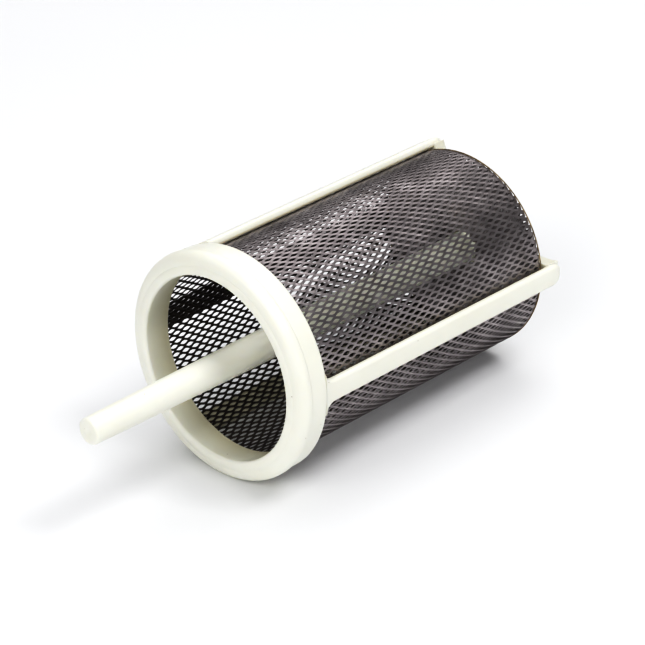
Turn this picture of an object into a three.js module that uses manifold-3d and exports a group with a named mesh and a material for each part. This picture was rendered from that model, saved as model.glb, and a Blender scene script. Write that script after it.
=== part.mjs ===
// Strainer insert of a fuel sampler, lying on its side.
//
// The insert is a moulded rim and cage around a rolled sleeve of expanded metal, closed at
// its rear by a disc of the same metal, with a long drain-valve stem through its middle.
// Units are millimetres and +Z is up. The insert's axis runs along Y: the stem's tip points
// to -Y and the closed end to +Y. Axial places are measured from the collar's rear plane,
// rearwards positive, and angles about the axis from +Z towards +X.

import * as THREE from 'three';
import * as BufferGeometryUtils from 'three/addons/utils/BufferGeometryUtils.js';
import Module from 'manifold-3d';

const wasm = await Module();
wasm.setup();

// Driving dimensions
const SCREEN_RADIUS = 25.4;         // outside of the rolled sleeve
const SCREEN_END = 77.3;            // rear rim of the sleeve
const SHEET = 0.45;                 // thickness of the expanded metal
const LAP_ANGLE = 12.5;             // degrees of double sheet along the sleeve's seam
const SEAM_AT = -87.5;              // degrees, middle of the seam
const HEM = 4.0;                    // how far the sleeve's rear rim is turned in

const BAND_RADIUS = 27.75;          // cage band, behind the bead
const BAND_BORE = 25.7;             // slips over the sleeve
const BEAD_RADIUS = 28.1;           // front bead of the rim
const RIM_FRONT = -8.6;             // front face of the rim
const PARTING = -5.3;               // plane where the rim meets the cage band
const LIP_RADIUS = 22.6;            // narrowest part of the mouth
const MOUTH_RADIUS = 23.0;          // mouth wall at its rear
const SPIGOT_RADIUS = 24.2;         // rim's wall inside the sleeve

const RIB_ANGLES = { side: 88.5, top: -31.5, under: -151.5 };
const RIB_WIDTH = 5.9;
const RIB_INNER = 25.6;
const RIB_OUTER = 27.5;
const CAGE_END = 82.0;              // rear end of the ribs
const SPOKE_FRONT = 78.2;
const SPOKE_WIDTH = 5.0;
const HUB_RADIUS = 6.5;

const STEM_TIP = -47.0;
const STEM_TIP_RADIUS = 3.2;
const STEM_RADIUS = 3.75;           // from the collar rearwards

const CLEARANCE = 0.3;              // between pieces that are pressed or dropped together
const ROUND_STEPS = 72;             // facets around the axis
const FLAT_DOWN = Math.PI / ROUND_STEPS;

const COLLAR_REAR_Y = -(STEM_TIP + CAGE_END) / 2;
const AXIS_HEIGHT = BEAD_RADIUS * Math.cos(FLAT_DOWN);

const X_AXIS = new THREE.Vector3(1, 0, 0);
const Y_AXIS = new THREE.Vector3(0, 1, 0);
const Z_AXIS = new THREE.Vector3(0, 0, 1);

const ivory = () => new THREE.MeshStandardMaterial({ color: 0xece9dc, roughness: 0.42, metalness: 0 });
const steel = () => new THREE.MeshStandardMaterial({ color: 0x7d767c, roughness: 0.38, metalness: 0.9 });

// Points along an elliptical quarter from one end to the other, both ends included.
function quarter(centreR, centreY, radiusR, radiusY, from, to, steps) {
  const points = [];
  for (let i = 0; i <= steps; i += 1) {
    const angle = from + ((to - from) * i) / steps;
    points.push([centreR + radiusR * Math.cos(angle), centreY + radiusY * Math.sin(angle)]);
  }
  return points;
}

// A body of revolution about Y. The outline runs anticlockwise in (radius, y).
function revolve(outline, steps = ROUND_STEPS) {
  const closed = outline[0][0] > 0 ? [...outline, outline[0]] : outline;
  const points = closed.map(([radius, y]) => new THREE.Vector2(radius, y));
  return new THREE.LatheGeometry(points, steps, Math.PI / steps);
}

// A plate whose outline lies in (y, radius), centred on the top of the axis and cut to width.
function slab(outline, width) {
  const shape = new THREE.Shape(outline.map(([y, radius]) => new THREE.Vector2(y, radius)));
  const geometry = new THREE.ExtrudeGeometry(shape, { depth: width, bevelEnabled: false });
  geometry.translate(0, 0, -width / 2);
  return geometry.applyMatrix4(new THREE.Matrix4().makeBasis(Y_AXIS, Z_AXIS, X_AXIS));
}

function toSolid(geometry) {
  const bare = geometry.clone();
  bare.deleteAttribute('normal');
  bare.deleteAttribute('uv');
  const merged = BufferGeometryUtils.mergeVertices(bare, 1e-4);
  return new wasm.Manifold(new wasm.Mesh({
    numProp: 3,
    vertProperties: new Float32Array(merged.attributes.position.array),
    triVerts: new Uint32Array(merged.index.array),
  }));
}

function fromSolid(solid) {
  const mesh = solid.getMesh();
  const geometry = new THREE.BufferGeometry();
  geometry.setAttribute('position', new THREE.BufferAttribute(new Float32Array(mesh.vertProperties), 3));
  geometry.setIndex(new THREE.BufferAttribute(new Uint32Array(mesh.triVerts), 1));
  geometry.computeVertexNormals();
  return geometry;
}

// Front moulding: a rounded bead, the lip of the mouth, and a spigot that fills the sleeve's end.
function rimRing() {
  const faceInner = 23.3;
  const faceOuter = 25.0;
  const cornerDepth = 2.4;
  const chamfer = 0.3;
  const lipY = -8.0;
  const spigotEnd = -0.8;
  return revolve([
    [MOUTH_RADIUS, spigotEnd],
    [LIP_RADIUS, lipY],
    [faceInner, RIM_FRONT],
    ...quarter(faceOuter, RIM_FRONT + cornerDepth, BEAD_RADIUS - faceOuter, cornerDepth, -Math.PI / 2, 0, 6),
    [BEAD_RADIUS, PARTING - chamfer],
    [BEAD_RADIUS - chamfer, PARTING],
    [SPIGOT_RADIUS, PARTING],
    [SPIGOT_RADIUS, spigotEnd],
  ]);
}

// Cage band: the ring behind the bead that carries the ribs and closes over the sleeve's end.
function cageBand() {
  const chamfer = 0.3;
  const front = PARTING + 0.1;
  return revolve([
    [BAND_BORE, front],
    [BAND_RADIUS - chamfer, front],
    [BAND_RADIUS, front + chamfer],
    [BAND_RADIUS, -chamfer],
    [BAND_RADIUS - chamfer, 0],
    [BAND_BORE, 0],
  ]);
}

// Rib: a flat bar outside the sleeve, from the band to just past the sleeve's end.
function rib() {
  const corner = 1.5;
  return slab([
    [0, RIB_INNER],
    [CAGE_END, RIB_INNER],
    ...quarter(CAGE_END - corner, RIB_OUTER - corner, corner, corner, 0, Math.PI / 2, 5),
    [0, RIB_OUTER],
  ], RIB_WIDTH);
}

// Spoke: the rib's turned-in foot, which runs behind the sleeve to the hub.
function spoke() {
  const rear = CAGE_END - 0.2;
  return slab([
    [SPOKE_FRONT, HUB_RADIUS + CLEARANCE],
    [rear, HUB_RADIUS + CLEARANCE],
    [rear, RIB_INNER - CLEARANCE],
    [SPOKE_FRONT, RIB_INNER - CLEARANCE],
  ], SPOKE_WIDTH);
}

// Hub: a small boss with a blind socket for the stem.
const HUB_FRONT = SPOKE_FRONT - 0.5;
const HUB_REAR = CAGE_END - 0.2;
const SOCKET_FLOOR = 80.2;

function hub() {
  const socketRadius = STEM_RADIUS + CLEARANCE;
  return revolve([
    [0, SOCKET_FLOOR],
    [socketRadius, SOCKET_FLOOR],
    [socketRadius, HUB_FRONT],
    [HUB_RADIUS, HUB_FRONT],
    [HUB_RADIUS, HUB_REAR],
    [0, HUB_REAR],
  ], 48);
}

// Stem: tapers forward of the collar to a flat tip with a soft edge.
function stem() {
  const edge = 0.6;
  return revolve([
    [0, STEM_TIP],
    ...quarter(STEM_TIP_RADIUS - edge, STEM_TIP + edge, edge, edge, -Math.PI / 2, 0, 4),
    [STEM_RADIUS, 0],
    [STEM_RADIUS, SOCKET_FLOOR - CLEARANCE],
    [0, SOCKET_FLOOR - CLEARANCE],
  ], 48);
}

// Sleeve: a rolled sheet whose edges lap along the seam, with its rear rim turned in.
function screenSleeve() {
  const front = PARTING + 0.4;
  const inner = SCREEN_RADIUS - SHEET;
  const tube = revolve([
    [inner, front],
    [SCREEN_RADIUS, front],
    [SCREEN_RADIUS, SCREEN_END],
    [SCREEN_RADIUS - HEM, SCREEN_END],
    [SCREEN_RADIUS - HEM, SCREEN_END - SHEET],
    [inner, SCREEN_END - SHEET],
  ]);
  const sunk = SHEET / 2;
  const left = Math.PI / 2 + THREE.MathUtils.degToRad(LAP_ANGLE / 2);
  const right = Math.PI - left;
  const section = new THREE.Shape();
  section.absarc(0, 0, inner + sunk, right, left, false);
  section.absarc(0, 0, inner - SHEET, left, right, true);
  const length = SCREEN_END - sunk - front;
  const lap = new THREE.ExtrudeGeometry(section, { depth: length, bevelEnabled: false, curveSegments: 6 });
  lap.applyMatrix4(new THREE.Matrix4().makeBasis(X_AXIS.clone().negate(), Z_AXIS, Y_AXIS));
  lap.translate(0, front, 0);
  lap.rotateY(THREE.MathUtils.degToRad(SEAM_AT));
  return fromSolid(toSolid(tube).add(toSolid(lap)));
}

// End disc: sits inside the turned-in rim, with a hole for the stem.
function screenEndDisc() {
  const rear = SCREEN_END - SHEET - CLEARANCE;
  const outer = SCREEN_RADIUS - 2 * SHEET - CLEARANCE;
  const hole = STEM_RADIUS + 2 * CLEARANCE;
  return revolve([
    [hole, rear - SHEET],
    [outer, rear - SHEET],
    [outer, rear],
    [hole, rear],
  ]);
}

function piece(name, geometry, material, angle = 0) {
  const mesh = new THREE.Mesh(geometry, material);
  mesh.name = name;
  mesh.rotation.y = THREE.MathUtils.degToRad(angle);
  return mesh;
}

const insert = new THREE.Group();
insert.position.set(0, COLLAR_REAR_Y, AXIS_HEIGHT);
insert.add(
  piece('rim_ring', rimRing(), ivory()),
  piece('cage_band', cageBand(), ivory()),
  piece('cage_hub', hub(), ivory()),
  piece('stem', stem(), ivory()),
  piece('screen_sleeve', screenSleeve(), steel()),
  piece('screen_end_disc', screenEndDisc(), steel()),
);
for (const [place, angle] of Object.entries(RIB_ANGLES)) {
  insert.add(piece(`cage_rib_${place}`, rib(), ivory(), angle));
  insert.add(piece(`cage_spoke_${place}`, spoke(), ivory(), angle));
}

export default insert;
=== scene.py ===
"""Looks of the fuel sampler's strainer insert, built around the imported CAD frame.

Lengths in this file are millimetres unless a name says otherwise; MM turns them into metres.
The insert lies along Y. Axial places are measured from the collar's rear plane, rearwards
positive, and angles about the axis run from +Z towards +X.
"""

import math

import bpy
import numpy as np
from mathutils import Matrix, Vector


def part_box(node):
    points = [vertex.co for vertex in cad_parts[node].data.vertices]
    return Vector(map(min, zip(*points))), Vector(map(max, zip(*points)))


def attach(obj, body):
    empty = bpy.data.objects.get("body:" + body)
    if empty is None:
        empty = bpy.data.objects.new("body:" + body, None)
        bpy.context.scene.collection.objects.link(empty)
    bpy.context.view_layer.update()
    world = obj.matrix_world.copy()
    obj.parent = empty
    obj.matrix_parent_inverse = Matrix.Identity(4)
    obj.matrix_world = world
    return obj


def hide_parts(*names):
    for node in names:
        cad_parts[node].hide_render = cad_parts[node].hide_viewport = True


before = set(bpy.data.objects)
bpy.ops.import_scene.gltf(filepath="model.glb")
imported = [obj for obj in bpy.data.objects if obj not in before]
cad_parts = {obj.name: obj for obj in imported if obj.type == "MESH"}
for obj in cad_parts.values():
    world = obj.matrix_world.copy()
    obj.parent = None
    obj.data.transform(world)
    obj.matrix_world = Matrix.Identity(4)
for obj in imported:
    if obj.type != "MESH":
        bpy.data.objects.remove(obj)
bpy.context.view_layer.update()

MM = 0.001
BODY = "root"
PLASTIC_SLOT = "ivory_plastic"
METAL_SLOT = "expanded_metal"


# ---------------------------------------------------------------------------
# Places read from the frame
# ---------------------------------------------------------------------------

def extent(node, axis):
    """Lowest and highest value of a CAD node along one axis, in millimetres."""
    low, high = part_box(node)
    return low[axis] / MM, high[axis] / MM


def radius_of(node):
    """Radius of a round CAD node, from its width across the axis."""
    left, right = extent(node, 0)
    return (right - left) / 2


AXIS_HEIGHT = sum(extent("rim_ring", 2)) / 2
COLLAR_REAR = extent("cage_band", 1)[1]
BEAD_RADIUS = radius_of("rim_ring")
BAND_RADIUS = radius_of("cage_band")
RIM_FRONT = extent("rim_ring", 1)[0] - COLLAR_REAR
PARTING = extent("cage_band", 1)[0] - COLLAR_REAR
SCREEN_RADIUS = radius_of("screen_sleeve")
SCREEN_FRONT = extent("screen_sleeve", 1)[0] - COLLAR_REAR
SCREEN_END = extent("screen_sleeve", 1)[1] - COLLAR_REAR
DISC_RADIUS = radius_of("screen_end_disc")
DISC_PLACE = sum(extent("screen_end_disc", 1)) / 2 - COLLAR_REAR
STEM_TIP = extent("stem", 1)[0] - COLLAR_REAR
STEM_END = extent("stem", 1)[1] - COLLAR_REAR
STEM_RADIUS = radius_of("stem")
HUB_RADIUS = radius_of("cage_hub")
HUB_FRONT = extent("cage_hub", 1)[0] - COLLAR_REAR
HUB_REAR = extent("cage_hub", 1)[1] - COLLAR_REAR

# Places chosen here; the angles are those of the CAD
RIB_ANGLES = {"side": 88.5, "top": -31.5, "under": -151.5}
RIB_LOW = 25.25            # underside of the ribs, from the axis
RIB_HIGH = 27.4            # outside of the ribs
SPOKE_FRONT = 78.2         # front face of the spokes, just behind the sleeve
SEAM_ANGLE = -87.5


# ---------------------------------------------------------------------------
# Mesh helpers
# ---------------------------------------------------------------------------

def mesh_object(name, points, faces, material, sharp_angle=32):
    """A smooth-shaded mesh whose points are in millimetres from the axis and collar."""
    mesh = bpy.data.meshes.new(name)
    shifted = np.asarray(points, dtype=float) + (0.0, COLLAR_REAR, AXIS_HEIGHT)
    mesh.from_pydata((shifted * MM).tolist(), [], faces)
    mesh.validate()
    mesh.shade_smooth()
    mesh.set_sharp_from_angle(angle=math.radians(sharp_angle))
    mesh.materials.append(material)
    piece = bpy.data.objects.new(name, mesh)
    bpy.context.scene.collection.objects.link(piece)
    return piece


def hand_over(piece, slot, *nodes):
    """Lets a finished piece stand for its CAD nodes."""
    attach(piece, BODY)
    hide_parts(*nodes)


def arc(centre, radii, start, end, steps):
    """Points of an elliptical arc in (radius, along), both ends included, angles in degrees."""
    angles = np.radians(np.linspace(start, end, steps + 1))
    return [(centre[0] + radii[0] * math.cos(a), centre[1] + radii[1] * math.sin(a)) for a in angles]


def grid_faces(rings, around, closed_rings):
    """Quads between neighbouring rings of points, each ring closed on itself."""
    faces = []
    last = rings if closed_rings else rings - 1
    for i in range(last):
        row, following = i * around, ((i + 1) % rings) * around
        for j in range(around):
            k = (j + 1) % around
            faces.append((row + j, following + j, following + k, row + k))
    return faces


def revolve(name, outline, material, steps=240):
    """A body of revolution about the axis. The outline runs anticlockwise in (radius, along)."""
    outline = np.asarray(outline)
    turn = np.linspace(0, 2 * math.pi, steps, endpoint=False)
    on_axis = outline[0][0] < 1e-6
    ring_outline = outline[1:-1] if on_axis else outline
    radius = np.repeat(ring_outline[:, 0, None], steps, axis=1)
    points = np.stack([
        radius * np.sin(turn),
        np.repeat(ring_outline[:, 1, None], steps, axis=1),
        radius * np.cos(turn),
    ], axis=-1).reshape(-1, 3)
    rings = len(ring_outline)
    faces = grid_faces(rings, steps, closed_rings=not on_axis)
    if on_axis:
        points = np.vstack([points, (0, outline[0][1], 0), (0, outline[-1][1], 0)])
        first, last = len(points) - 2, len(points) - 1
        for j in range(steps):
            k = (j + 1) % steps
            faces.append((first, j, k))
            faces.append((last, (rings - 1) * steps + k, (rings - 1) * steps + j))
    return mesh_object(name, points, faces, material)


# ---------------------------------------------------------------------------
# Materials
# ---------------------------------------------------------------------------

class Nodes:
    """Short names for the few shader nodes the materials share."""

    def __init__(self, name):
        self.material = bpy.data.materials.new(name)
        self.material.use_nodes = True
        self.tree = self.material.node_tree
        self.shader = self.tree.nodes["Principled BSDF"]
        self.coords = self.tree.nodes.new("ShaderNodeTexCoord").outputs["Object"]

    def link(self, output, target):
        self.tree.links.new(output, target)

    def maths(self, kind, operation, first, second=None):
        """A math or vector math node. Each side is an output to link or a plain value."""
        node = self.tree.nodes.new(kind)
        node.operation = operation
        for socket, value in zip(node.inputs, (first, second)):
            if isinstance(value, bpy.types.NodeSocket):
                self.link(value, socket)
            elif value is not None:
                socket.default_value = value
        return node.outputs

    def share(self, value, start, end, most=1.0):
        """How far a value has gone from start to end, clamped, from zero up to most."""
        node = self.tree.nodes.new("ShaderNodeMapRange")
        node.inputs["From Min"].default_value = start
        node.inputs["From Max"].default_value = end
        node.inputs["To Max"].default_value = most
        self.link(value, node.inputs["Value"])
        return node.outputs["Result"]

    def noise(self, scale, detail=3.0, roughness=0.55, stretch=None):
        node = self.tree.nodes.new("ShaderNodeTexNoise")
        node.inputs["Scale"].default_value = scale
        node.inputs["Detail"].default_value = detail
        node.inputs["Roughness"].default_value = roughness
        coords = self.coords
        if stretch is not None:
            mapping = self.tree.nodes.new("ShaderNodeMapping")
            mapping.inputs["Scale"].default_value = stretch
            self.link(self.coords, mapping.inputs["Vector"])
            coords = mapping.outputs["Vector"]
        self.link(coords, node.inputs["Vector"])
        return node.outputs["Fac"]

    def cells(self, scale):
        node = self.tree.nodes.new("ShaderNodeTexVoronoi")
        node.inputs["Scale"].default_value = scale
        self.link(self.coords, node.inputs["Vector"])
        return node.outputs["Distance"]

    def facing_axis(self):
        """One on faces that look towards the part's axis, falling to zero on those that look out."""
        vector = "ShaderNodeVectorMath"
        from_axis = self.maths(vector, "SUBTRACT", self.coords, (0.0, 0.0, AXIS_HEIGHT * MM))
        radial = self.maths(vector, "MULTIPLY", from_axis[0], (1.0, 0.0, 1.0))
        outward = self.maths(vector, "NORMALIZE", radial[0])
        normal = self.coords.node.outputs["Normal"]
        facing = self.maths(vector, "DOT_PRODUCT", outward[0], normal)
        return self.share(facing["Value"], 0.2, -0.4)

    def ramp(self, value, stops):
        node = self.tree.nodes.new("ShaderNodeValToRGB")
        elements = node.color_ramp.elements
        while len(elements) < len(stops):
            elements.new(0.5)
        for element, (position, colour) in zip(elements, stops):
            element.position = position
            element.color = (*colour, 1.0)
        self.link(value, node.inputs["Fac"])
        return node.outputs["Color"]

    def grey(self, value, stops):
        return self.ramp(value, [(position, (level,) * 3) for position, level in stops])

    def mix(self, amount, first, second):
        node = self.tree.nodes.new("ShaderNodeMix")
        node.data_type = "RGBA"
        # sockets 6 and 7 in and 2 out are the colour ones, which share their names with others
        colour_a, colour_b, mixed = node.inputs[6], node.inputs[7], node.outputs[2]
        self.link(amount, node.inputs["Factor"])
        for socket, value in ((colour_a, first), (colour_b, second)):
            if isinstance(value, tuple):
                socket.default_value = (*value, 1.0)
            else:
                self.link(value, socket)
        return mixed

    def bump(self, height, strength, distance, normal=None):
        node = self.tree.nodes.new("ShaderNodeBump")
        node.inputs["Strength"].default_value = strength
        node.inputs["Distance"].default_value = distance
        self.link(height, node.inputs["Height"])
        if normal is not None:
            self.link(normal, node.inputs["Normal"])
        return node.outputs["Normal"]


def ivory_plastic():
    """Waxy off-white moulding: faint mottling, stray specks, fine scuffs, a soft grain, and painted shade
    on faces that look towards the axis.
    """
    n = Nodes("ivory_plastic")
    mottled = n.ramp(n.noise(55, detail=4), [
        (0.30, (0.840, 0.836, 0.730)),
        (0.70, (0.880, 0.878, 0.780)),
    ])
    speck_mask = n.grey(n.cells(420), [(0.045, 1.0), (0.075, 0.0)])
    rare = n.grey(n.noise(130, detail=1), [(0.60, 0.0), (0.66, 1.0)])
    specks = n.maths("ShaderNodeMath", "MULTIPLY", speck_mask, rare)
    colour = n.mix(specks[0], mottled, (0.36, 0.30, 0.20))
    parts = n.tree.nodes.new("ShaderNodeSeparateXYZ")
    n.link(n.coords, parts.inputs["Vector"])
    # painted shade: faces that look at the axis are darkened to a deeper cream, more so from just behind
    # the rim's front rearwards
    mouth_front = (COLLAR_REAR + RIM_FRONT + 0.8) * MM
    mouth_rear = (COLLAR_REAR - 2.0) * MM
    shade_deepening = n.share(parts.outputs["Y"], mouth_front, mouth_rear, most=0.95)
    inside = n.maths("ShaderNodeMath", "MULTIPLY", n.facing_axis(), shade_deepening)
    n.link(n.mix(inside[0], colour, (0.62, 0.59, 0.44)), n.shader.inputs["Base Color"])
    scuffs = n.noise(700, detail=2, stretch=(1.0, 0.12, 1.0))
    n.link(n.grey(scuffs, [(0.35, 0.30), (0.75, 0.48)]), n.shader.inputs["Roughness"])
    grain = n.bump(n.noise(1500, detail=2), 0.10, 0.00006)
    waves = n.bump(n.noise(90, detail=2), 0.25, 0.00012, normal=grain)
    n.link(waves, n.shader.inputs["Normal"])
    n.shader.inputs["Subsurface Weight"].default_value = 0.22
    n.shader.inputs["Subsurface Radius"].default_value = (1.0, 0.85, 0.55)
    n.shader.inputs["Subsurface Scale"].default_value = 0.0015
    n.shader.inputs["IOR"].default_value = 1.49
    return n.material


def expanded_metal(name, paint_inner_shade):
    """Dull steel with a warm grey cast, brighter where the die rubbed it and browner in patches, and,
    when asked for, painted shade on faces that look towards the axis.
    """
    n = Nodes(name)
    tone = n.ramp(n.noise(160, detail=4), [
        (0.30, (0.235, 0.213, 0.215)),
        (0.55, (0.345, 0.315, 0.318)),
        (0.75, (0.480, 0.443, 0.446)),
    ])
    stain = n.grey(n.noise(60, detail=3), [(0.58, 0.0), (0.75, 0.35)])
    stain_and_shade = n.mix(stain, tone, (0.15, 0.12, 0.085))
    # painted shade: faces that look towards the axis, inside the sleeve, go nearly black
    if paint_inner_shade:
        stain_and_shade = n.mix(n.facing_axis(), stain_and_shade, (0.060, 0.051, 0.043))
    n.link(stain_and_shade, n.shader.inputs["Base Color"])
    n.link(n.grey(n.noise(900, detail=2), [(0.3, 0.35), (0.7, 0.52)]), n.shader.inputs["Roughness"])
    n.link(n.bump(n.noise(2600, detail=2), 0.2, 0.00003), n.shader.inputs["Normal"])
    n.shader.inputs["Metallic"].default_value = 0.9
    return n.material


def folded_metal():
    """The sleeve's folded rim: the same steel, browned along its raw edge."""
    n = Nodes("folded_metal")
    tone = n.ramp(n.noise(420, detail=4), [(0.35, (0.17, 0.125, 0.070)), (0.65, (0.48, 0.37, 0.22))])
    n.link(tone, n.shader.inputs["Base Color"])
    n.link(n.grey(n.noise(900, detail=2), [(0.3, 0.38), (0.7, 0.55)]), n.shader.inputs["Roughness"])
    n.link(n.bump(n.noise(1800, detail=2), 0.3, 0.00004), n.shader.inputs["Normal"])
    n.shader.inputs["Metallic"].default_value = 0.5
    return n.material


def floor_material():
    """Matt white table with the faintest tooth."""
    n = Nodes("floor_white")
    n.link(n.ramp(n.noise(6, detail=2), [(0.3, (0.85, 0.855, 0.865)), (0.7, (0.865, 0.87, 0.88))]),
           n.shader.inputs["Base Color"])
    n.shader.inputs["Roughness"].default_value = 0.9
    n.shader.inputs["Specular IOR Level"].default_value = 0.15
    return n.material


PLASTIC = ivory_plastic()
# the sleeve's steel gets painted shade on its inner faces; the end disc's steel does not
METAL = expanded_metal("expanded_metal", paint_inner_shade=True)
END_METAL = expanded_metal("expanded_metal_end", paint_inner_shade=False)
EDGE_METAL = folded_metal()


# ---------------------------------------------------------------------------
# Mouldings
# ---------------------------------------------------------------------------

def rim_outline():
    """Bead, funnel-shaped mouth and the spigot inside the sleeve, as (radius, along)."""
    lip_radius, mouth_radius, spigot_radius = 22.6, 23.0, 24.2
    spigot_end = -0.8
    face = RIM_FRONT
    bead_middle, bead_depth = 25.0, 2.45
    return [
        *arc((mouth_radius + 0.35, spigot_end - 0.35), (0.35, 0.35), 90, 180, 6),
        (mouth_radius - 0.16, spigot_end - 3.0),
        (mouth_radius - 0.30, face + 2.2),
        *arc((lip_radius + 0.75, face + 0.75), (0.75, 0.75), 180, 262, 10),
        (23.9, face + 0.02),
        (24.75, face + 0.10),
        (24.95, face + 0.24),
        (25.12, face + 0.24),
        *arc((bead_middle, face + 2.7), (BEAD_RADIUS - bead_middle, bead_depth), -84, 0, 22),
        (BEAD_RADIUS, PARTING - 0.35),
        *arc((BEAD_RADIUS - 0.3, PARTING - 0.35), (0.3, 0.3), 15, 90, 5),
        (spigot_radius + 2.4, PARTING - 0.05),
        (spigot_radius, PARTING - 0.05),
        *arc((spigot_radius - 0.3, spigot_end - 0.3), (0.3, 0.3), 0, 90, 4),
    ]


def band_outline():
    """The ring behind the bead, which carries the ribs."""
    bore = 25.75
    front = PARTING + 0.05
    return [
        (bore, front),
        (BAND_RADIUS - 0.35, front),
        *arc((BAND_RADIUS - 0.3, front + 0.3), (0.3, 0.3), -75, 0, 5),
        (BAND_RADIUS, -2.6),
        *arc((BAND_RADIUS - 0.7, -0.7), (0.7, 0.7), 0, 90, 8),
        (bore + 0.2, 0.0),
        (bore, -0.2),
    ]


def hub_outline():
    """A boss with a socket for the stem, a soft rear edge and a shallow dimple behind."""
    socket = STEM_RADIUS + 0.3
    floor = 80.2
    return [
        (0.0, floor),
        (socket - 0.4, floor),
        (socket, floor - 0.4),
        (socket, HUB_FRONT + 0.3),
        (socket + 0.3, HUB_FRONT),
        (HUB_RADIUS - 0.4, HUB_FRONT),
        (HUB_RADIUS, HUB_FRONT + 0.4),
        (HUB_RADIUS, HUB_REAR - 0.8),
        *arc((HUB_RADIUS - 0.8, HUB_REAR - 0.8), (0.8, 0.8), 15, 90, 6),
        (2.2, HUB_REAR),
        (1.9, HUB_REAR - 0.1),
        (1.5, HUB_REAR - 0.45),
        (0.7, HUB_REAR - 0.6),
        (0.0, HUB_REAR - 0.62),
    ]


def stem_outline():
    """Tapers forward of the collar to a flat tip with a soft edge and a gate dimple."""
    tip_radius = 3.2
    edge = 0.75
    return [
        (0.0, STEM_TIP + 0.22),
        (0.55, STEM_TIP + 0.20),
        (0.85, STEM_TIP + 0.03),
        (1.1, STEM_TIP),
        *arc((tip_radius - edge, STEM_TIP + edge), (edge, edge), -84, -4, 9),
        (tip_radius + 0.12, STEM_TIP + 9.0),
        (tip_radius + 0.25, STEM_TIP + 21.0),
        (tip_radius + 0.41, STEM_TIP + 35.0),
        (STEM_RADIUS, 0.0),
        (STEM_RADIUS, 40.0),
        (STEM_RADIUS, STEM_END - 0.5),
        *arc((STEM_RADIUS - 0.5, STEM_END - 0.5), (0.5, 0.5), 15, 90, 5),
        (0.0, STEM_END),
    ]


def rounded_section(half_width, low, high, edge, steps=5):
    """A rounded rectangle as (across, out) points, anticlockwise from the lower right."""
    edge = min(edge, half_width * 0.98, (high - low) * 0.49)
    points = []
    for sx, sr, start in ((1, -1, -90), (1, 1, 0), (-1, 1, 90), (-1, -1, 180)):
        centre_x = sx * (half_width - edge)
        centre_r = (high - edge) if sr > 0 else (low + edge)
        for i in range(steps + 1):
            a = math.radians(start + 90 * i / steps)
            points.append((centre_x + edge * math.cos(a), centre_r + edge * math.sin(a)))
    return points


def loft(name, sections, material, angle, sharp_angle=38):
    """Skins rows of (across, along, out) points and turns the result about the axis."""
    around = len(sections[0])
    points = np.array([p for section in sections for p in section])
    faces = grid_faces(len(sections), around, closed_rings=False)
    faces.append(tuple(range(around)))
    last = (len(sections) - 1) * around
    faces.append(tuple(last + i for i in reversed(range(around))))
    turn = math.radians(angle)
    x = points[:, 0] * math.cos(turn) + points[:, 2] * math.sin(turn)
    z = -points[:, 0] * math.sin(turn) + points[:, 2] * math.cos(turn)
    return mesh_object(name, np.stack([x, points[:, 1], z], axis=-1), faces, material, sharp_angle)


def rib(name, angle, start, end, low, high, material):
    """A bar along the sleeve: flared where it leaves the band, soft-edged, with a lobed end."""
    half, edge = 2.75, 0.8
    flare, flare_length, proud_root = 2.6, 3.6, 0.22
    corner, corner_narrowing, corner_drop, corner_lift = 3.2, 1.75, 1.25, 0.35
    taper, lobe_step = 0.16, 0.17
    sections = []
    for i in range(11):
        a = math.radians(90 * i / 10)
        wide = half + flare * (1 - math.sin(a))
        proud = proud_root * (1 - math.sin(a))
        along = start + flare_length * (1 - math.cos(a))
        sections.append([(x, along, r) for x, r in rounded_section(wide, low, high + proud, edge)])
    for share in np.linspace(0.1, 0.9, 9):
        wide = half - taper * share
        along = start + flare_length + (end - corner - start - flare_length) * share
        sections.append([(x, along, r) for x, r in rounded_section(wide, low, high, edge)])
    half -= lobe_step
    for i in range(10):
        a = math.radians(86 * i / 9)
        wide = half - corner_narrowing * (1 - math.cos(a))
        top = high - corner_drop * (1 - math.cos(a))
        bottom = low + corner_lift * (1 - math.cos(a))
        along = end - corner + corner * math.sin(a)
        sections.append([(x, along, r) for x, r in rounded_section(wide, bottom, top, edge)])
    return loft(name, sections, material, angle)


def spoke(name, angle, inner, outer, front, rear, material):
    """A flat arm across the axis, from the hub out to a rib's end, wider at both roots."""
    half, edge = 2.5, 0.5
    # how much wider the arm is at each distance from the axis, fillets at both roots
    widening = (
        (inner, 1.0), (inner + 0.4, 0.5), (inner + 0.9, 0.2), (inner + 1.6, 0.03), (inner + 4, 0.0),
        ((inner + outer) / 2, 0.0),
        (outer - 3, 0.0), (outer - 1.4, 0.12), (outer - 0.6, 0.3), (outer, 0.42),
    )
    sections = []
    for r, extra in reversed(widening):
        # a section lies in (across, along) here, and the loft runs inwards along r
        sections.append([(x, y, r) for x, y in rounded_section(half + extra, front, rear, edge)])
    return loft(name, sections, material, angle)


hand_over(revolve("moulded_rim", rim_outline(), PLASTIC), PLASTIC_SLOT, "rim_ring")
hand_over(revolve("moulded_band", band_outline(), PLASTIC), PLASTIC_SLOT, "cage_band")
hand_over(revolve("moulded_hub", hub_outline(), PLASTIC, steps=96), PLASTIC_SLOT, "cage_hub")
hand_over(revolve("moulded_stem", stem_outline(), PLASTIC, steps=96), PLASTIC_SLOT, "stem")

RIB_START = -0.25          # just inside the band
RIB_END = HUB_REAR + 0.2
SPOKE_INNER = HUB_RADIUS - 0.15
SPOKE_OUTER = RIB_LOW + 0.7

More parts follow.
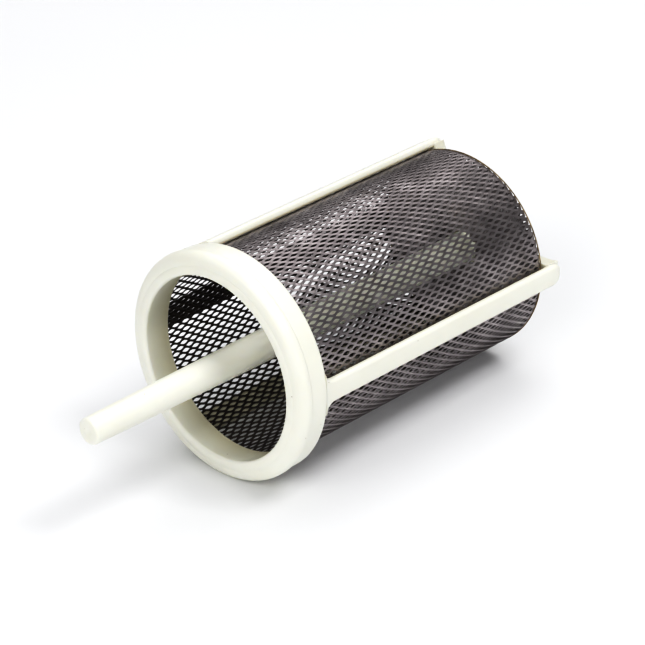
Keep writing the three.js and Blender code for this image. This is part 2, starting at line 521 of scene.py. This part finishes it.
for where, angle in RIB_ANGLES.items():
    bar = rib(f"moulded_rib_{where}", angle, RIB_START, RIB_END, RIB_LOW, RIB_HIGH, PLASTIC)
    hand_over(bar, PLASTIC_SLOT, f"cage_rib_{where}")
    arm = spoke(f"moulded_spoke_{where}", angle, SPOKE_INNER, SPOKE_OUTER, SPOKE_FRONT, HUB_REAR, PLASTIC)
    hand_over(arm, PLASTIC_SLOT, f"cage_spoke_{where}")


# ---------------------------------------------------------------------------
# Expanded metal
# ---------------------------------------------------------------------------

ROWS = 160                 # zigzag strands around the sleeve
PITCH = 3.2                # one diamond along the axis
STRAND = 0.57              # width of a strand in the sleeve
GAUGE = 0.14               # thickness of a strand
TILT = math.radians(-7)    # how far the sleeve's strands lean out of the sheet
UNEVEN = 0.012             # spread of a strand's wandering, and of its width as a share
FULLNESS = 1.03            # strands are a touch wider than their nominal width
LEAST_REACH = 0.05         # a strand swings at least this far to each side
END_SLACK = 0.01           # stations this close past a strand's ends are still kept
SHARP = 55                 # degrees between faces that keeps a strand's edges crisp
# one zigzag along a strand: (place along the axis, place across from -1 to 1)
STATIONS = ((0.0, 1.0), (0.36, 0.88), (1.24, -0.88), (1.6, -1.0), (1.96, -0.88), (2.84, 0.88))

SHEET_RADIUS = SCREEN_RADIUS - 0.42
SPACING = 2 * math.pi * SHEET_RADIUS / ROWS
WALL_START = SCREEN_FRONT + 0.1
HEM_START = SCREEN_END - 1.3     # where the rear rim begins to bend inwards
HEM_REACH = 3.3                  # sheet past the sleeve's end, taken up by the bend and the hem
HEM_CROWDING = 1.65              # how much wider the strands are where the rim squeezes them
CUT = HEM_START - 1.0            # where the wall's mesh is parted from its turned rim
BEND = 0.9                       # radius of the rim's bend

LAP_STRAND = 0.80                # width of a strand in the seam's second layer
LAP_SINK = 0.45                  # how far the second layer lies inside the first
LAP_HALF_ANGLE = 6.5             # degrees of second layer to each side of the seam
LAP_SHIFT = math.radians(1.5)    # how far the second layer is turned out of step
LAP_SHORT = 1.6                  # the second layer stops this far before the sleeve's end

DISC_STRAND = 0.74               # the end mesh has wider strands, which lean further
DISC_SPACING = 0.986
DISC_TILT = math.radians(30)
DISC_EDGE_GAP = 0.2              # strands end this far inside the disc's edge
DISC_HOLE_GAP = 0.7              # and this far outside the stem


def strand_sections(row, start, length, spacing, rng, phase=0.0, strand=STRAND, tilt=TILT):
    """Centre line of one strand on the flat sheet: (along, across, rise, width) rows."""
    reach = max(spacing / 2 - strand / 2 * math.cos(tilt), LEAST_REACH)
    lift = strand / 2 * math.sin(tilt)
    first = math.floor((start - phase) / PITCH) - 1
    last = math.ceil((start + length - phase) / PITCH) + 1
    offset = PITCH / 2 if row % 2 else 0.0
    along, swing = [], []
    for n in range(first, last + 1):
        for place, level in STATIONS:
            along.append(phase + n * PITCH + place + offset)
            swing.append(level)
    along, swing = np.array(along), np.array(swing)
    inside = (along > start - END_SLACK) & (along < start + length + END_SLACK)
    along, swing = along[inside], swing[inside]
    jitter = rng.normal(0, UNEVEN, (3, len(along)))
    across = row * spacing + reach * swing + jitter[0]
    rise = -lift * swing + jitter[1]
    width = strand * (FULLNESS + jitter[2])
    return along, across, rise, width


def strand_mesh(sections, lay, tilt=TILT):
    """Rectangular strands swept along their centre lines. lay turns sheet places into space."""
    points, faces = [], []
    base = 0
    half_gauge = GAUGE / 2
    ct, st = math.cos(tilt), math.sin(tilt)
    for along, across, rise, width in sections:
        count = len(along)
        if count < 2:
            continue
        corners = []
        for side, face in ((-1, -1), (1, -1), (1, 1), (-1, 1)):
            a = across + side * width / 2 * ct - face * half_gauge * st
            r = rise + side * width / 2 * st + face * half_gauge * ct
            corners.append(lay(along, a, r))
        points.append(np.stack(corners, axis=1).reshape(-1, 3))
        for i in range(count - 1):
            for k in range(4):
                m = (k + 1) % 4
                faces.append((base + 4 * i + k, base + 4 * i + m,
                              base + 4 * (i + 1) + m, base + 4 * (i + 1) + k))
        faces.append((base + 3, base + 2, base + 1, base))
        end = base + 4 * (count - 1)
        faces.append((end, end + 1, end + 2, end + 3))
        base += 4 * count
    return np.vstack(points), faces


def wall_lay(radius, turn_in=None, shift=0.0):
    """Rolls the flat sheet into a sleeve, bending its rear rim inwards past turn_in."""
    def lay(along, across, rise):
        theta = across / SHEET_RADIUS + shift
        if turn_in is None:
            r, y = radius + rise, along
        else:
            past = np.clip(along - turn_in, 0, None)
            a = np.clip(past / BEND, 0, math.pi / 2)
            flat = np.clip(past - BEND * math.pi / 2, 0, None)
            r = radius - BEND + (BEND + rise) * np.cos(a) - flat
            y = np.minimum(along, turn_in) + (BEND + rise) * np.sin(a)
        return np.stack([r * np.sin(theta), y, r * np.cos(theta)], axis=-1)

    return lay


def disc_lay(along, across, rise):
    """Lays the flat sheet behind the sleeve, square to the axis."""
    return np.stack([across, DISC_PLACE + rise, along], axis=-1)


def split_strand(section, where, keep_front):
    """The part of a strand before or behind a place along it; both keep one point in common."""
    index = int(np.searchsorted(section[0], where))
    kept = slice(0, index + 1) if keep_front else slice(index, None)
    return tuple(values[kept] for values in section)


def clip_to_disc(section, outer, hole):
    """The parts of a straight strand between the stem hole and the disc's edge."""
    along, across = section[0], section[1]
    radius = np.hypot(along, across)
    keep = (radius < outer) & (radius > hole)
    runs, begun = [], None
    for i, inside in enumerate([*keep, False]):
        if inside and begun is None:
            begun = i
        elif not inside and begun is not None:
            runs.append(tuple(values[begun:i] for values in section))
            begun = None
    return runs


def metal_piece(name, sections, lay, material, node, tilt=TILT):
    """One piece of expanded metal, from its strands to its CAD node."""
    points, faces = strand_mesh(sections, lay, tilt)
    hand_over(mesh_object(name, points, faces, material, sharp_angle=SHARP), METAL_SLOT, node)


def make_wall(rng):
    """The sleeve's wall, and its rear rim with the strands squeezed together."""
    length = SCREEN_END + HEM_REACH - SCREEN_FRONT
    wall = [strand_sections(row, WALL_START, length, SPACING, rng) for row in range(ROWS)]
    lay = wall_lay(SHEET_RADIUS, HEM_START)
    front = [split_strand(strand, CUT, keep_front=True) for strand in wall]
    metal_piece("screen_wall", front, lay, METAL, "screen_sleeve")
    crowded = [(along, across, rise, width * HEM_CROWDING) for along, across, rise, width in wall]
    rear = [split_strand(strand, CUT, keep_front=False) for strand in crowded]
    metal_piece("screen_turned_rim", rear, lay, METAL, "screen_sleeve")


def make_folded_edge():
    """The thin browned ring where the sheet folds over at the sleeve's end."""
    centre = (SHEET_RADIUS - 0.55, SCREEN_END - 0.75)
    outer, inner = 0.72, 0.52
    fold = arc(centre, (outer, outer), 5, 85, 8) + arc(centre, (inner, inner), 85, 5, 8)
    ring = revolve("screen_folded_edge", fold, EDGE_METAL, steps=180)
    hand_over(ring, METAL_SLOT, "screen_sleeve")


def row_at(angle):
    """Number of the strand nearest an angle about the axis, in degrees."""
    return round(math.radians(angle) * SHEET_RADIUS / SPACING)


def make_seam(rng):
    """The sheet's second layer under the seam, half a diamond out of step with the first."""
    length = SCREEN_END - LAP_SHORT - SCREEN_FRONT
    rows = range(row_at(SEAM_ANGLE - LAP_HALF_ANGLE), row_at(SEAM_ANGLE + LAP_HALF_ANGLE) + 1)
    lap = [strand_sections(row, WALL_START, length, SPACING, rng, phase=PITCH / 2, strand=LAP_STRAND)
           for row in rows]
    lay = wall_lay(SHEET_RADIUS - LAP_SINK, shift=LAP_SHIFT)
    metal_piece("screen_seam_lap", lap, lay, METAL, "screen_sleeve")


def make_end_mesh(rng):
    """The disc of expanded metal that closes the sleeve, with a hole for the stem."""
    rows = int(DISC_RADIUS / DISC_SPACING) + 1
    strands = []
    for row in range(-rows, rows + 1):
        section = strand_sections(row, -DISC_RADIUS, 2 * DISC_RADIUS, DISC_SPACING, rng,
                                  strand=DISC_STRAND, tilt=DISC_TILT)
        strands.extend(clip_to_disc(section, DISC_RADIUS - DISC_EDGE_GAP, STEM_RADIUS + DISC_HOLE_GAP))
    metal_piece("screen_end_mesh", strands, disc_lay, END_METAL, "screen_end_disc", tilt=DISC_TILT)


rng = np.random.default_rng(11)
make_wall(rng)
make_folded_edge()
make_seam(rng)
make_end_mesh(rng)


# ---------------------------------------------------------------------------
# Floor, light and camera
# ---------------------------------------------------------------------------

def make_floor():
    """A pale table that touches the bead's lowest point and the cage's lowest rib."""
    # metres: where the bead and the rib touch along Y, and how much higher the rib's end is
    touch_front, touch_rear, height = -0.0231, 0.0645, 0.00257
    slope = height / (touch_rear - touch_front)
    gap = 0.00002
    reach = 2.0
    mesh = bpy.data.meshes.new("floor")
    corners = [(x, y, (y - touch_front) * slope - gap) for x, y in
               ((-reach, -reach), (reach, -reach), (reach, reach), (-reach, reach))]
    mesh.from_pydata(corners, [], [(0, 1, 2, 3)])
    mesh.materials.append(floor_material())
    floor = bpy.data.objects.new("floor", mesh)
    bpy.context.scene.collection.objects.link(floor)


def aimed(name, data, location, target):
    """An object at a place in metres, turned to look at another."""
    holder = bpy.data.objects.new(name, data)
    holder.location = location
    holder.rotation_mode = "QUATERNION"
    holder.rotation_quaternion = (Vector(target) - Vector(location)).to_track_quat("-Z", "Y")
    bpy.context.scene.collection.objects.link(holder)
    return holder


LIGHT_AIM = (0, 0, 0.02)


def softbox(name, location, width, height, power):
    """A rectangular white light, aimed just below the middle of the insert. Sizes are metres."""
    light = bpy.data.lights.new(name, "AREA")
    light.shape = "RECTANGLE"
    light.size, light.size_y = width, height
    light.energy = power
    aimed(name, light, location, LIGHT_AIM)


def make_world(stops):
    """A sky whose brightness depends on height: stops are (height of the direction, level)."""
    world = bpy.data.worlds.new("studio_white")
    world.use_nodes = True
    tree = world.node_tree
    background = tree.nodes["Background"]
    direction = tree.nodes.new("ShaderNodeTexCoord")
    parts = tree.nodes.new("ShaderNodeSeparateXYZ")
    ramp = tree.nodes.new("ShaderNodeValToRGB")
    tree.links.new(direction.outputs["Generated"], parts.inputs["Vector"])
    tree.links.new(parts.outputs["Z"], ramp.inputs["Fac"])
    tree.links.new(ramp.outputs["Color"], background.inputs["Color"])
    elements = ramp.color_ramp.elements
    while len(elements) < len(stops):
        elements.new(0.5)
    for element, (height, level) in zip(elements, stops):
        element.position = height
        element.color = (level, level, level * 1.02, 1.0)
    background.inputs["Strength"].default_value = 1.0
    bpy.context.scene.world = world


def make_camera():
    """A long lens that looks down on the insert from the front right."""
    camera = bpy.data.cameras.new("camera")
    camera.lens = 165.62
    camera.sensor_width = 36.0
    camera.clip_start, camera.clip_end = 0.01, 20.0
    place, aim = (0.42344, -0.43206, 0.35893), (0.0042, 0.0052, 0.0296)
    bpy.context.scene.camera = aimed("camera", camera, place, aim)


def make_contrast(points):
    """Deepens the darker tones: points are (level, shown level) on the combined curve."""
    view = bpy.context.scene.view_settings
    view.view_transform = "Standard"
    view.use_curve_mapping = True
    for level, shown in points:
        view.curve_mapping.curves[3].points.new(level, shown)
    view.curve_mapping.update()


make_floor()
make_world(((0.0, 0.03), (0.35, 0.06), (0.64, 0.24), (0.85, 0.55)))
softbox("softbox_left", (-0.30, 0.30, 0.85), 0.8, 0.8, 3.5)
softbox("softbox_right", (0.41, 0.12, 0.80), 0.30, 0.30, 3.5)
softbox("softbox_front", (0.30, -1.10, 0.80), 0.9, 0.7, 8.8)
softbox("softbox_side", (0.90, -0.40, 0.45), 0.5, 0.5, 1.3)
make_camera()
make_contrast(((0.08, 0.035), (0.25, 0.165), (0.60, 0.595)))
